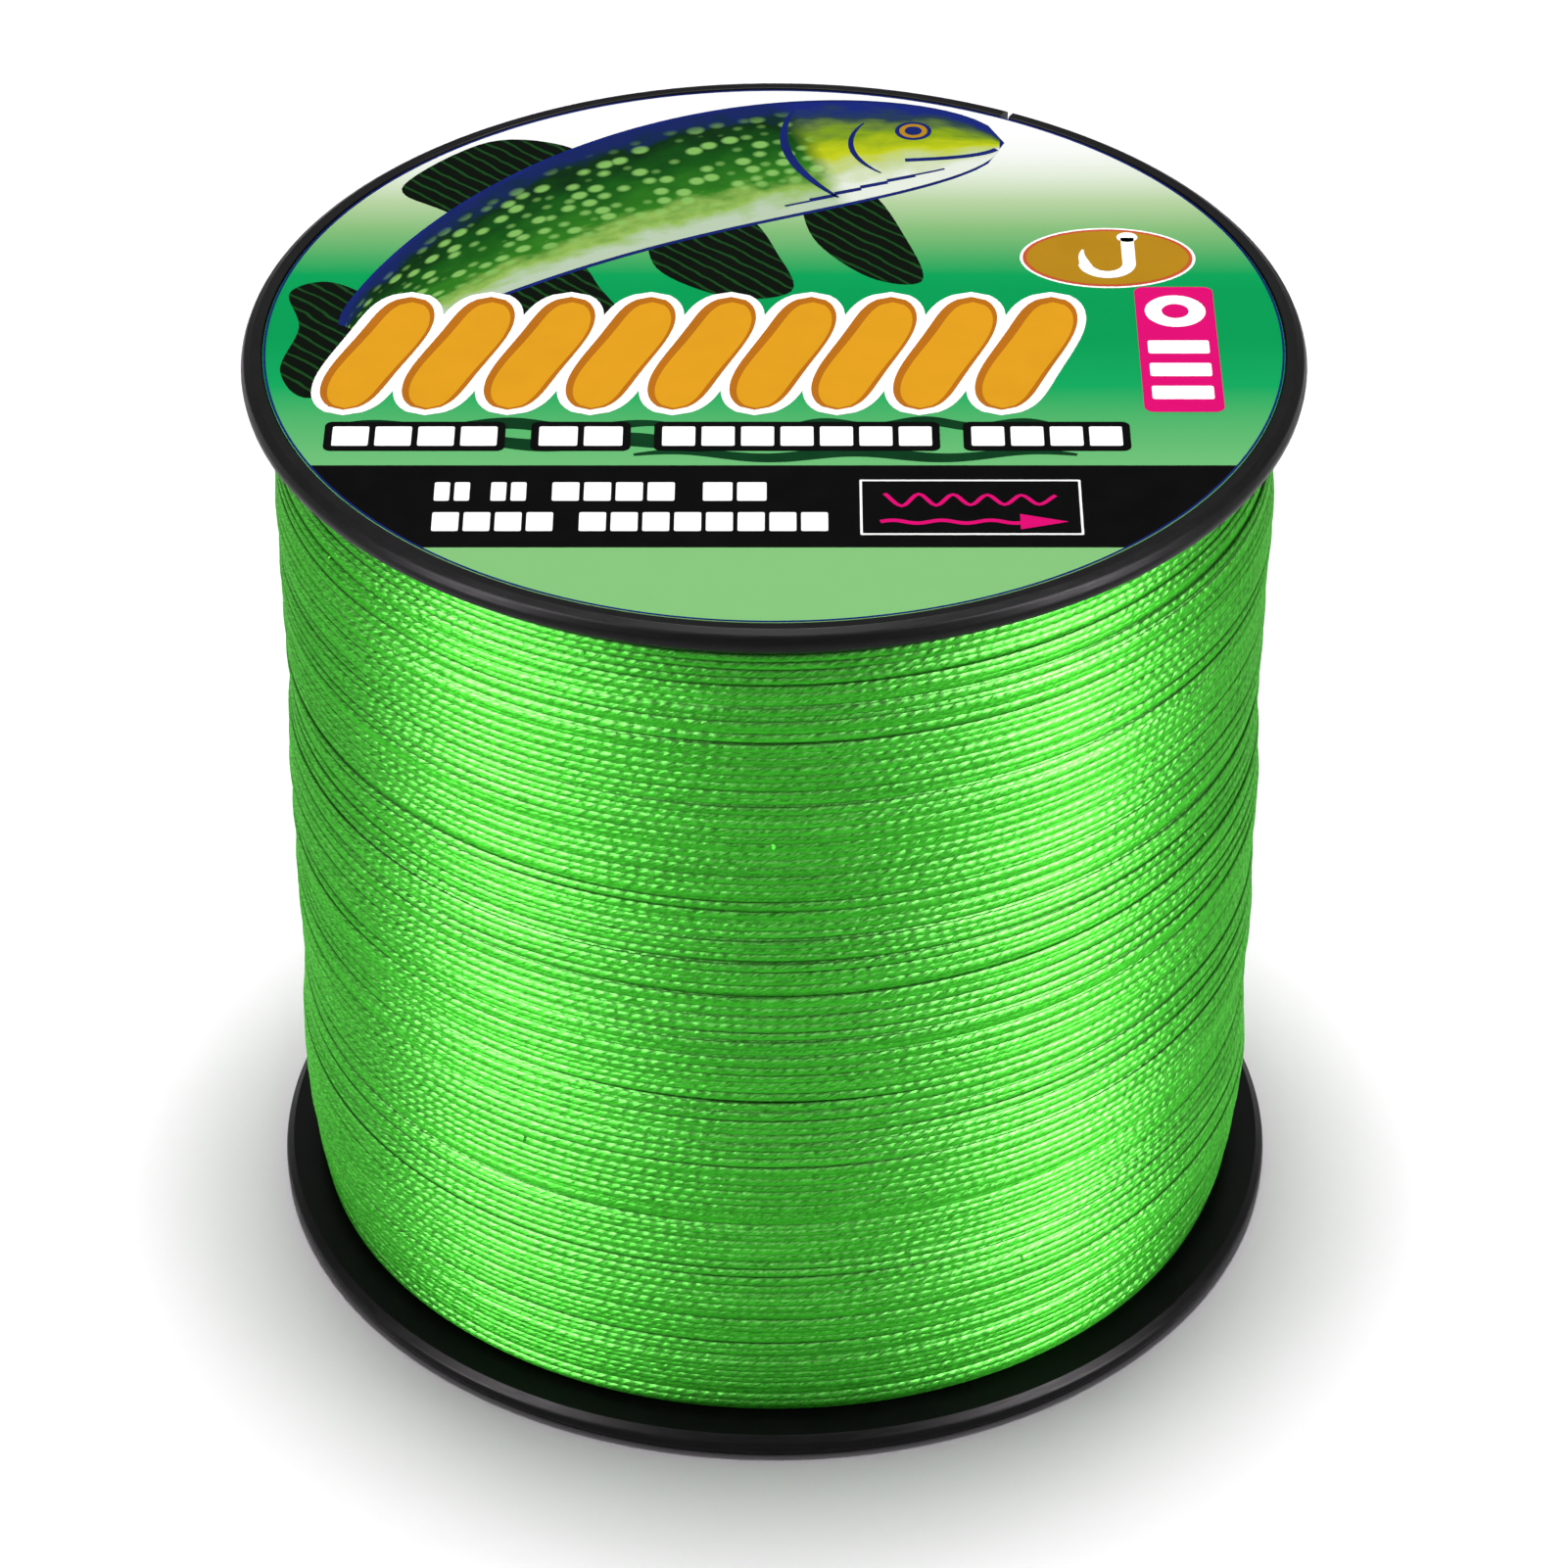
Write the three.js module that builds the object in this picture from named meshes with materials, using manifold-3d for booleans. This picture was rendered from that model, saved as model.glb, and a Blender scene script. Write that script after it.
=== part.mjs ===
// A bulk spool of braided fishing line, standing upright on its lower flange.
// Units are millimetres, +Z is up, and the origin is the centre of the lower rim's rest plane.
import * as THREE from "three";
import { mergeVertices } from "three/addons/utils/BufferGeometryUtils.js";
import Module from "manifold-3d";

const wasm = await Module();
wasm.setup();

// Driving dimensions
const FLANGE_RADIUS = 47;
const SPOOL_HEIGHT = 90;
const RIM_THICKNESS = 2.4;
const BARREL_RADIUS = 22;
const BARREL_WALL = 2;
const BORE_RADIUS = 10;
const WINDING_RADIUS = 44.4;
const LINE_DIAMETER = 0.5;

// The rim: a flat lip round the label pocket, then a rounded side
const LIP_RADIUS = FLANGE_RADIUS - 0.95;
const POCKET_RADIUS = LIP_RADIUS - 0.9;
const POCKET_DEPTH = 0.4;
const RIM_FOOT_RADIUS = FLANGE_RADIUS - 0.7;
const RIM_ARC_STEPS = 4;
const SLIT_WIDTH = 0.8;
const SLIT_DEPTH = 3.2;
const SLIT_AZIMUTH = THREE.MathUtils.degToRad(61.6);

// The flange's inner side: a boss round the bore, a spigot for the barrel, and ribs between them
const BOSS_WALL = 2;
const BOSS_LENGTH = 12;
const SPIGOT_WALL = 1.8;
const SPIGOT_LENGTH = 9;
const RIB_COUNT = 6;
const RIB_THICKNESS = 1.4;
const RIB_HEIGHT = 6;

// Clearances between separate pieces
const FIT_GAP = 0.3;
const GLUE_GAP = 0.05;

// The wound line: its outside swells and sinks by a fraction of a millimetre along the spool,
// and rounds off towards both flanges
const WINDING_STEPS = 24;
const WAVES = [
  { height: 0.16, cycles: 2.5, phase: 0.6 },
  { height: 0.1, cycles: 5.5, phase: 2.1 },
];
const SHOULDER_HEIGHT = 13;
const SHOULDER_DROP = 1.6;
const WINDING_LOW = RIM_THICKNESS + FIT_GAP;
const WINDING_HIGH = SPOOL_HEIGHT - WINDING_LOW;

// The tape that holds the line's inner end to the barrel
const TAPE_THICKNESS = 0.2;
const TAPE_LENGTH_ANGLE = THREE.MathUtils.degToRad(60);
const TAPE_WIDTH = 12;
const TAPE_STEPS = 12;

// The labels, one on each flange
const LABEL_THICKNESS = 0.3;
const LABEL_RADIUS = POCKET_RADIUS - 0.15;
const LOWER_LABEL_RADIUS = 38;
const LOWER_LABEL_HOLE_RADIUS = 13;

// The line's outer end: it runs down the winding to the lower flange's slit
const TAIL_SWEEP = THREE.MathUtils.degToRad(34);
const TAIL_STEPS = 40;
const TAIL_SIDES = 8;

const ROUND_SEGMENTS = 60;
const FULL_TURN = 2 * Math.PI;

const blackPlastic = new THREE.MeshStandardMaterial({
  color: 0x17181a,
  roughness: 0.35,
  metalness: 0,
});
const greenLine = new THREE.MeshStandardMaterial({
  color: 0x4fbf3c,
  roughness: 0.45,
  metalness: 0,
});
const printedLabel = new THREE.MeshStandardMaterial({
  color: 0x3aa567,
  roughness: 0.3,
  metalness: 0,
});
const clearTape = new THREE.MeshStandardMaterial({
  color: 0xd8cfa0,
  roughness: 0.5,
  metalness: 0,
});

// A closed outline of [radius, height] corners, going counter-clockwise, turned about the Z axis.
function turned(corners, segments = ROUND_SEGMENTS) {
  const outline = [...corners, corners[0]].map(([radius, height]) => new THREE.Vector2(radius, height));
  return new THREE.LatheGeometry(outline, segments).rotateX(Math.PI / 2);
}

// A geometry as a manifold-3d solid.
function solidOf(geometry) {
  const bare = new THREE.BufferGeometry();
  bare.setAttribute("position", geometry.getAttribute("position").clone());
  bare.setIndex(geometry.getIndex());
  const merged = mergeVertices(bare, 1e-4);
  return new wasm.Manifold(
    new wasm.Mesh({
      numProp: 3,
      vertProperties: new Float32Array(merged.getAttribute("position").array),
      triVerts: new Uint32Array(merged.getIndex().array),
    }),
  );
}

// A manifold-3d solid as a geometry.
function geometryOf(solid) {
  const made = solid.getMesh();
  const geometry = new THREE.BufferGeometry();
  geometry.setAttribute("position", new THREE.BufferAttribute(made.vertProperties, made.numProp));
  geometry.setIndex(new THREE.BufferAttribute(made.triVerts, 1));
  geometry.computeVertexNormals();
  return geometry;
}

function named(name, geometry, material) {
  const mesh = new THREE.Mesh(geometry, material);
  mesh.name = name;
  return mesh;
}

// One flange with its outer face at height 0 and everything else below it.
function flangeGeometry() {
  const innerFace = -RIM_THICKNESS;
  const spigotOuter = BARREL_RADIUS - BARREL_WALL - FIT_GAP;
  const spigotInner = spigotOuter - SPIGOT_WALL;
  const bossOuter = BORE_RADIUS + BOSS_WALL;
  const rimSide = [];
  for (let i = 0; i <= RIM_ARC_STEPS; i++) {
    const turn = (i / RIM_ARC_STEPS) * Math.PI - Math.PI / 2;
    const base = turn < 0 ? RIM_FOOT_RADIUS : LIP_RADIUS;
    const middle = -RIM_THICKNESS / 2;
    rimSide.push([
      base + (FLANGE_RADIUS - base) * Math.cos(turn),
      middle + (RIM_THICKNESS / 2) * Math.sin(turn),
    ]);
  }
  const body = solidOf(
    turned([
      [BORE_RADIUS, innerFace - BOSS_LENGTH],
      [bossOuter, innerFace - BOSS_LENGTH],
      [bossOuter, innerFace],
      [spigotInner, innerFace],
      [spigotInner, innerFace - SPIGOT_LENGTH],
      [spigotOuter - 0.5, innerFace - SPIGOT_LENGTH],
      [spigotOuter, innerFace - SPIGOT_LENGTH + 1],
      [spigotOuter, innerFace],
      ...rimSide,
      [POCKET_RADIUS, 0],
      [POCKET_RADIUS, -POCKET_DEPTH],
      [BORE_RADIUS, -POCKET_DEPTH],
    ]),
  );
  const ribLength = spigotInner - bossOuter + SPIGOT_WALL;
  const ribMiddle = (spigotInner + bossOuter) / 2;
  let flange = body;
  for (let i = 0; i < RIB_COUNT; i++) {
    const rib = new THREE.BoxGeometry(ribLength, RIB_THICKNESS, RIB_HEIGHT + 1);
    rib.translate(ribMiddle, 0, innerFace - RIB_HEIGHT / 2 + 0.5);
    rib.rotateZ((i / RIB_COUNT) * FULL_TURN);
    flange = flange.add(solidOf(rib));
  }
  const slit = new THREE.BoxGeometry(SLIT_DEPTH * 2, SLIT_WIDTH, RIM_THICKNESS * 3);
  slit.translate(FLANGE_RADIUS, 0, 0);
  slit.rotateZ(SLIT_AZIMUTH);
  return geometryOf(flange.subtract(solidOf(slit)));
}

function barrelGeometry() {
  const low = RIM_THICKNESS + GLUE_GAP;
  const high = SPOOL_HEIGHT - low;
  const inner = BARREL_RADIUS - BARREL_WALL;
  return turned([
    [inner, low],
    [BARREL_RADIUS, low],
    [BARREL_RADIUS, high],
    [inner, high],
  ]);
}

// The radius of the winding's outside at a height above the rest plane.
function windingRadius(height) {
  const fromEnd = Math.min(height - WINDING_LOW, WINDING_HIGH - height);
  const shoulder = Math.max(0, 1 - fromEnd / SHOULDER_HEIGHT);
  const share = (height - WINDING_LOW) / (WINDING_HIGH - WINDING_LOW);
  let radius = WINDING_RADIUS - SHOULDER_DROP * shoulder ** 2;
  for (const wave of WAVES) {
    radius += wave.height * Math.sin(FULL_TURN * wave.cycles * share + wave.phase);
  }
  return radius;
}

function windingGeometry() {
  const inner = BARREL_RADIUS + TAPE_THICKNESS + 2 * FIT_GAP;
  const outside = [];
  for (let i = 0; i <= WINDING_STEPS; i++) {
    const height = WINDING_LOW + (i / WINDING_STEPS) * (WINDING_HIGH - WINDING_LOW);
    outside.push([windingRadius(height), height]);
  }
  return turned([[inner, WINDING_LOW], ...outside, [inner, WINDING_HIGH]]);
}

// A patch of tape wrapped part of the way round the barrel, at mid height.
function tapeGeometry() {
  const inner = BARREL_RADIUS + FIT_GAP;
  const outer = inner + TAPE_THICKNESS;
  const outline = new THREE.Shape();
  for (let i = 0; i <= TAPE_STEPS; i++) {
    const angle = (i / TAPE_STEPS) * TAPE_LENGTH_ANGLE;
    const x = outer * Math.cos(angle);
    const y = outer * Math.sin(angle);
    if (i === 0) {
      outline.moveTo(x, y);
    } else {
      outline.lineTo(x, y);
    }
  }
  for (let i = TAPE_STEPS; i >= 0; i--) {
    const angle = (i / TAPE_STEPS) * TAPE_LENGTH_ANGLE;
    outline.lineTo(inner * Math.cos(angle), inner * Math.sin(angle));
  }
  const patch = new THREE.ExtrudeGeometry(outline, { depth: TAPE_WIDTH, bevelEnabled: false });
  return patch.translate(0, 0, (SPOOL_HEIGHT - TAPE_WIDTH) / 2);
}

function upperLabelGeometry() {
  const low = SPOOL_HEIGHT - POCKET_DEPTH + GLUE_GAP;
  const high = low + LABEL_THICKNESS;
  const outline = [[0, low], [LABEL_RADIUS, low], [LABEL_RADIUS, high], [0, high]];
  const profile = outline.map(([radius, height]) => new THREE.Vector2(radius, height));
  return new THREE.LatheGeometry(profile, ROUND_SEGMENTS).rotateX(Math.PI / 2);
}

function lowerLabelGeometry() {
  const high = POCKET_DEPTH - GLUE_GAP;
  const low = high - LABEL_THICKNESS;
  return turned([
    [LOWER_LABEL_HOLE_RADIUS, low],
    [LOWER_LABEL_RADIUS, low],
    [LOWER_LABEL_RADIUS, high],
    [LOWER_LABEL_HOLE_RADIUS, high],
  ]);
}

// The end of the line lies on the winding, comes down to the lower flange and is pressed into its slit.
function tailGeometry() {
  const slitAzimuth = Math.PI - SLIT_AZIMUTH;
  const overFlange = RIM_THICKNESS + FIT_GAP + LINE_DIAMETER / 2;
  const inSlit = RIM_THICKNESS / 2;
  const at = (radius, azimuth, height) =>
    new THREE.Vector3(radius * Math.cos(azimuth), radius * Math.sin(azimuth), height);
  const onWinding = (sweepShare, rise) => {
    const height = overFlange + rise;
    const radius = windingRadius(height) + LINE_DIAMETER / 2 + FIT_GAP;
    return at(radius, slitAzimuth + TAIL_SWEEP * sweepShare, height);
  };
  const route = new THREE.CatmullRomCurve3([
    onWinding(1, 5.2),
    onWinding(0.75, 4.3),
    onWinding(0.5, 3),
    onWinding(0.27, 1.7),
    onWinding(0.12, 0.8),
    at(WINDING_RADIUS, slitAzimuth + TAIL_SWEEP * 0.02, overFlange),
    at(WINDING_RADIUS + 1.1, slitAzimuth, inSlit + 0.8),
    at(FLANGE_RADIUS - 0.6, slitAzimuth, inSlit),
  ]);
  const section = new THREE.Shape();
  section.absarc(0, 0, LINE_DIAMETER / 2, 0, FULL_TURN);
  return new THREE.ExtrudeGeometry(section, {
    steps: TAIL_STEPS,
    curveSegments: TAIL_SIDES / 2,
    extrudePath: route,
    bevelEnabled: false,
  });
}

const upperFlange = named("upper_flange", flangeGeometry(), blackPlastic);
upperFlange.position.z = SPOOL_HEIGHT;

const lowerFlange = named("lower_flange", flangeGeometry(), blackPlastic.clone());
lowerFlange.rotation.y = Math.PI;

const spool = new THREE.Group();
spool.add(
  upperFlange,
  lowerFlange,
  named("hub_barrel", barrelGeometry(), blackPlastic.clone()),
  named("arbor_tape", tapeGeometry(), clearTape),
  named("line_winding", windingGeometry(), greenLine),
  named("line_tail", tailGeometry(), greenLine.clone()),
  named("upper_label", upperLabelGeometry(), printedLabel),
  named("lower_label", lowerLabelGeometry(), printedLabel.clone()),
);

export default spool;
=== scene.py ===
import math

import bpy
import numpy as np
from mathutils import Matrix, Vector


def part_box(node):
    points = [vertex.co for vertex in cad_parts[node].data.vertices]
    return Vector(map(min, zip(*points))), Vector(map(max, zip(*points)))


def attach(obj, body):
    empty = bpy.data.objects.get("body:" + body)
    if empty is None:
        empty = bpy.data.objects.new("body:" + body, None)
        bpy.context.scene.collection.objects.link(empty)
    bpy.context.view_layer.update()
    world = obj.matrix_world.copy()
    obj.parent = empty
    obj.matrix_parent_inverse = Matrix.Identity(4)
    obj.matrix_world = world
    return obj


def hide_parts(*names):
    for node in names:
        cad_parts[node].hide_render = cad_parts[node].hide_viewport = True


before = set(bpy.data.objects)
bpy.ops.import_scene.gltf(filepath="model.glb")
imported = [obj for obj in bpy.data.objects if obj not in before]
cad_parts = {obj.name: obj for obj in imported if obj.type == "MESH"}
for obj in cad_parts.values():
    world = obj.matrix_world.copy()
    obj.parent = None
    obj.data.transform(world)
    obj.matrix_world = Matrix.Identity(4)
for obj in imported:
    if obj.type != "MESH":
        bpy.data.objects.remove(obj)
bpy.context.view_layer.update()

# Lengths are in millimetres until a mesh is made. The camera, the lights and the materials use metres.
MM = 0.001
FULL_TURN = 2 * math.pi


def box_mm(node):
    """A CAD node's lowest and highest corner in millimetres."""
    low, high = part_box(node)
    return np.array(low) / MM, np.array(high) / MM


# -------- dimensions, from the frame
FLANGE_RADIUS, _, SPOOL_HEIGHT = box_mm("upper_flange")[1]
BARREL_LOW, BARREL_HIGH = box_mm("hub_barrel")
LABEL_LOW, LABEL_HIGH = box_mm("upper_label")
LOWER_LABEL_LOW, LOWER_LABEL_HIGH = box_mm("lower_label")
TAPE_LOW, TAPE_HIGH = box_mm("arbor_tape")

RIM_THICKNESS = 2.4
LIP_RADIUS = FLANGE_RADIUS - 0.95
POCKET_RADIUS = LIP_RADIUS - 0.9
POCKET_DEPTH = 0.4
BORE_RADIUS = 10
BOSS_RADIUS = BORE_RADIUS + 2
BOSS_LENGTH = 12
BARREL_RADIUS = BARREL_HIGH[0]
BARREL_WALL = 2
SPIGOT_RADIUS = BARREL_RADIUS - BARREL_WALL - 0.3
SPIGOT_WALL = 1.8
SPIGOT_LENGTH = 9
RIB_COUNT = 6
RIB_THICKNESS = 1.4
RIB_HEIGHT = 6
SLIT_AZIMUTH = math.radians(61.6)
SLIT_WIDTH = 0.8
SLIT_DEPTH = 3.2
ROUND_STEPS = 288

LABEL_RADIUS = LABEL_HIGH[0]
LOWER_LABEL_RADIUS = LOWER_LABEL_HIGH[0]
LOWER_LABEL_HOLE_RADIUS = 13

LINE_BOTTOM = RIM_THICKNESS
LINE_TOP = SPOOL_HEIGHT - RIM_THICKNESS
WINDING_RADIUS = 44.4
SHOULDER_HEIGHT = 13
SHOULDER_DROP = 1.6
STRAND_HALF_WIDTH = 0.43
STRAND_HALF_THICKNESS = 0.25
LOWEST_TURN = LINE_BOTTOM + STRAND_HALF_WIDTH
HIGHEST_TURN = LINE_TOP - STRAND_HALF_WIDTH
BRAID_PERIOD = 1.25
BRAID_RELIEF = 0.012
BRAID_SLANT = 1.7
STRAND_GIRTH = 2.3
FILAMENT_LEAN = math.radians(24)
FILAMENT_FINENESS = 4.5
# the numbers of the first turns of the layer beneath and of the line's end, so that their dye differs
UNDER_FIRST_TURN = 200
END_FIRST_TURN = 300

# the printed sheets are thinner than the labels, which leaves room for the print on them
PRINT_ROOM = 0.06
PRINT_BASE = LABEL_HIGH[2] - PRINT_ROOM
LOWER_PRINT_BASE = LOWER_LABEL_LOW[2] + PRINT_ROOM
INK_STEP = 0.013
INK_SINK = 0.02
INK_STRENGTH = 0.7
BRIGHTEST_INK = 0.94


# -------- camera, at the photograph's angle
CAMERA_PLACE = (0.00088, -0.46716, 0.3732)
CAMERA_DOWN = math.radians(35.36)
CAMERA_LENS = 141.9
CAMERA_SENSOR = 36
CAMERA_NEAR = 0.01


def new_object(name, data):
    made = bpy.data.objects.new(name, data)
    bpy.context.scene.collection.objects.link(made)
    return made


def make_camera():
    camera = new_object("camera", bpy.data.cameras.new("camera"))
    camera.data.sensor_width = CAMERA_SENSOR
    camera.data.lens = CAMERA_LENS
    camera.data.clip_start = CAMERA_NEAR
    camera.location = CAMERA_PLACE
    camera.rotation_euler = (math.pi / 2 - CAMERA_DOWN, 0, 0)
    bpy.context.scene.camera = camera


make_camera()


# -------- mesh helpers
SMOOTH_ANGLE = math.radians(35)


def mesh_object(name, points, faces, material):
    """An object from points in millimetres and faces of any size, smooth but for its sharper edges."""
    mesh = bpy.data.meshes.new(name)
    mesh.from_pydata([tuple(p) for p in np.asarray(points, float) * MM], [], faces)
    return finished(name, mesh, material, SMOOTH_ANGLE)


def finished(name, mesh, material, smooth_angle=None):
    """An object from a mesh, smooth all over or, with an angle, only where its edges are less sharp."""
    mesh.update(calc_edges=True)
    mesh.shade_smooth()
    if smooth_angle:
        mesh.set_sharp_from_angle(angle=smooth_angle)
    mesh.materials.append(material)
    return new_object(name, mesh)


def unit(vectors):
    """Vectors of length one in the same directions."""
    return vectors / np.linalg.norm(vectors, axis=-1, keepdims=True)


def eased(corners, steps=4):
    """An outline with its corners rounded. Each corner is (radius, height, fillet); a point is added on
    either side of each fillet, so that smooth shading doesn't bleed onto the flat faces."""
    outline = []
    count = len(corners)
    for i, (x, y, fillet) in enumerate(corners):
        here = np.array([x, y], float)
        if not fillet:
            outline.append(tuple(here))
            continue
        before = unit(np.array(corners[i - 1][:2]) - here)
        after = unit(np.array(corners[(i + 1) % count][:2]) - here)
        half = math.acos(np.clip(before @ after, -1, 1)) / 2
        reach = fillet / math.tan(half)
        centre = here + unit(before + after) * fillet / math.sin(half)
        start = here + before * reach
        end = here + after * reach
        margin = fillet * 0.15
        outline.append(tuple(start + before * margin))
        for k in range(steps + 1):
            blend = start + (end - start) * k / steps - centre
            outline.append(tuple(centre + unit(blend) * fillet))
        outline.append(tuple(end + after * margin))
    return outline


def turned(outline, steps=ROUND_STEPS):
    """Points and faces of an outline turned about Z. The outline goes counter-clockwise, closed on itself
    or starting and ending on the axis."""
    points, rings = [], []
    for radius, height in outline:
        if radius < 1e-9:
            rings.append([len(points)])
            points.append((0, 0, height))
            continue
        rings.append(list(range(len(points), len(points) + steps)))
        for k in range(steps):
            angle = FULL_TURN * k / steps
            points.append((radius * math.cos(angle), radius * math.sin(angle), height))
    faces = []
    closed = len(rings[0]) > 1
    following = rings[1:] + rings[:1] if closed else rings[1:]
    for low, high in zip(rings, following):
        for k in range(steps):
            n = (k + 1) % steps
            if len(low) == 1:
                faces.append((low[0], high[n], high[k]))
            elif len(high) == 1:
                faces.append((low[k], low[n], high[0]))
            else:
                faces.append((low[k], low[n], high[n], high[k]))
    return points, faces


def prism(outline, low, high):
    """Points and faces of a flat outline, counter-clockwise from above, standing from low to high."""
    count = len(outline)
    points = [(x, y, low) for x, y in outline] + [(x, y, high) for x, y in outline]
    faces = [tuple(range(count - 1, -1, -1)), tuple(range(count, 2 * count))]
    for k in range(count):
        n = (k + 1) % count
        faces.append((k, n, count + n, count + k))
    return points, faces


def joined(parts):
    """Several sets of points and faces as one."""
    points, faces = [], []
    for part_points, part_faces in parts:
        faces += [tuple(i + len(points) for i in face) for face in part_faces]
        points += part_points
    return points, faces


def sheet_faces(columns, rows):
    """Faces of a thin closed sheet from two grids of points. Each grid goes column by column, and each
    column has one point more than there are rows."""
    def at(i, j):
        return i * (rows + 1) + j

    over = (columns + 1) * (rows + 1)
    faces = []
    for i in range(columns):
        for j in range(rows):
            faces.append((at(i, j), at(i, j + 1), at(i + 1, j + 1), at(i + 1, j)))
            faces.append((over + at(i, j), over + at(i + 1, j), over + at(i + 1, j + 1), over + at(i, j + 1)))
    rim = [at(i, 0) for i in range(columns)] + [at(columns, j) for j in range(rows)]
    rim += [at(i, rows) for i in range(columns, 0, -1)] + [at(0, j) for j in range(rows, 0, -1)]
    for here, there in zip(rim, rim[1:] + rim[:1]):
        faces.append((here, there, over + there, over + here))
    return faces


def arc(x, y, radius, start, end, steps):
    """Points on an arc from one angle to another, with both ends."""
    angles = [start + (end - start) * k / steps for k in range(steps + 1)]
    return [(x + radius * math.cos(angle), y + radius * math.sin(angle)) for angle in angles]


def swung(points, angle):
    """Flat points turned about the axis."""
    cosine, sine = math.cos(angle), math.sin(angle)
    return [(x * cosine - y * sine, x * sine + y * cosine) for x, y in points]


def combined(made, tool, operation):
    """made cut by or joined to tool, which is removed."""
    modifier = made.modifiers.new(operation, "BOOLEAN")
    modifier.operation = operation
    modifier.solver = "EXACT"
    modifier.object = tool
    graph = bpy.context.evaluated_depsgraph_get()
    mesh = bpy.data.meshes.new_from_object(made.evaluated_get(graph))
    made.modifiers.clear()
    made.data = mesh
    bpy.data.objects.remove(tool)
    return made


def placed(made, node):
    """made rides on the spool's one body and stands for a CAD node, which is hidden."""
    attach(made, "root")
    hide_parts(node)


# -------- material helpers
def new_material(name):
    material = bpy.data.materials.new(name)
    material.use_nodes = True
    tree = material.node_tree
    return material, tree, tree.nodes["Principled BSDF"]


def fill(made, inputs):
    """A node's inputs, each set to a value or linked to a socket."""
    for key, value in inputs.items():
        if isinstance(value, bpy.types.NodeSocket):
            made.id_data.links.new(value, made.inputs[key])
        else:
            made.inputs[key].default_value = value


def node(tree, kind, inputs=None, **settings):
    """A new shader node with its settings and its inputs."""
    made = tree.nodes.new("ShaderNode" + kind)
    for key, value in settings.items():
        setattr(made, key, value)
    fill(made, inputs or {})
    return made


def tree_of(values):
    """The node tree of the sockets among some values."""
    return next(value.id_data for value in values if isinstance(value, bpy.types.NodeSocket))


def object_place(tree):
    """The place on a piece, in metres, in the shared frame."""
    return node(tree, "TexCoord").outputs["Object"]


def stretched(place, scale):
    return node(place.id_data, "Mapping", {"Vector": place, "Scale": scale}).outputs[0]


def from_axes(*values):
    return node(tree_of(values), "CombineXYZ", dict(enumerate(values))).outputs[0]


def maths(operation, *values):
    return node(tree_of(values), "Math", dict(enumerate(values)), operation=operation).outputs[0]


def plus(first, second):
    return maths("ADD", first, second)


def minus(first, second):
    return maths("SUBTRACT", first, second)


def times(first, second):
    return maths("MULTIPLY", first, second)


def mixed(factor, first, second, blend="MIX"):
    """Two colours mixed by a factor."""
    inputs = {0: factor, 6: first, 7: second}
    return node(tree_of(inputs.values()), "Mix", inputs, data_type="RGBA", blend_type=blend).outputs[2]


def noise(place, scale, detail=3.0, roughness=0.5):
    inputs = {"Vector": place, "Scale": scale, "Detail": detail, "Roughness": roughness}
    return node(place.id_data, "TexNoise", inputs).outputs["Fac"]


def ranged(value, low, high, to_low, to_high):
    """A socket's value moved from one range to another, and kept inside it."""
    inputs = {0: value, 1: low, 2: high, 3: to_low, 4: to_high}
    return node(value.id_data, "MapRange", inputs).outputs[0]


def ramp(value, stops):
    """A colour ramp with (position, colour) stops."""
    made = node(value.id_data, "ValToRGB", {"Fac": value})
    elements = made.color_ramp.elements
    while len(elements) > 1:
        elements.remove(elements[-1])
    for i, (position, colour) in enumerate(stops):
        element = elements[0] if i == 0 else elements.new(position)
        element.position = position
        element.color = (*colour, 1)
    return made.outputs["Color"]


def bumped(shader, height, distance, strength=1.0):
    """The shader's surface raised by a height, by up to a distance in metres."""
    inputs = {"Height": height, "Distance": distance, "Strength": strength}
    fill(shader, {"Normal": node(shader.id_data, "Bump", inputs).outputs[0]})


# -------- materials
def black_plastic():
    """Satin injection-moulded black plastic with a faint grain and fine scuffs."""
    material, tree, shader = new_material("black_plastic")
    place = object_place(tree)
    cloud = noise(place, 60, 4)
    scuffs = noise(stretched(place, (1, 1, 14)), 420, 5, 0.65)
    fill(shader, {
        "Base Color": mixed(cloud, (0.006, 0.006, 0.0065, 1), (0.011, 0.011, 0.0118, 1)),
        "Roughness": ranged(scuffs, 0.35, 0.7, 0.3, 0.44),
        "Specular IOR Level": 0.1,
    })
    bumped(shader, noise(place, 2600, 2), 0.00001, 0.5)
    return material


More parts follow.
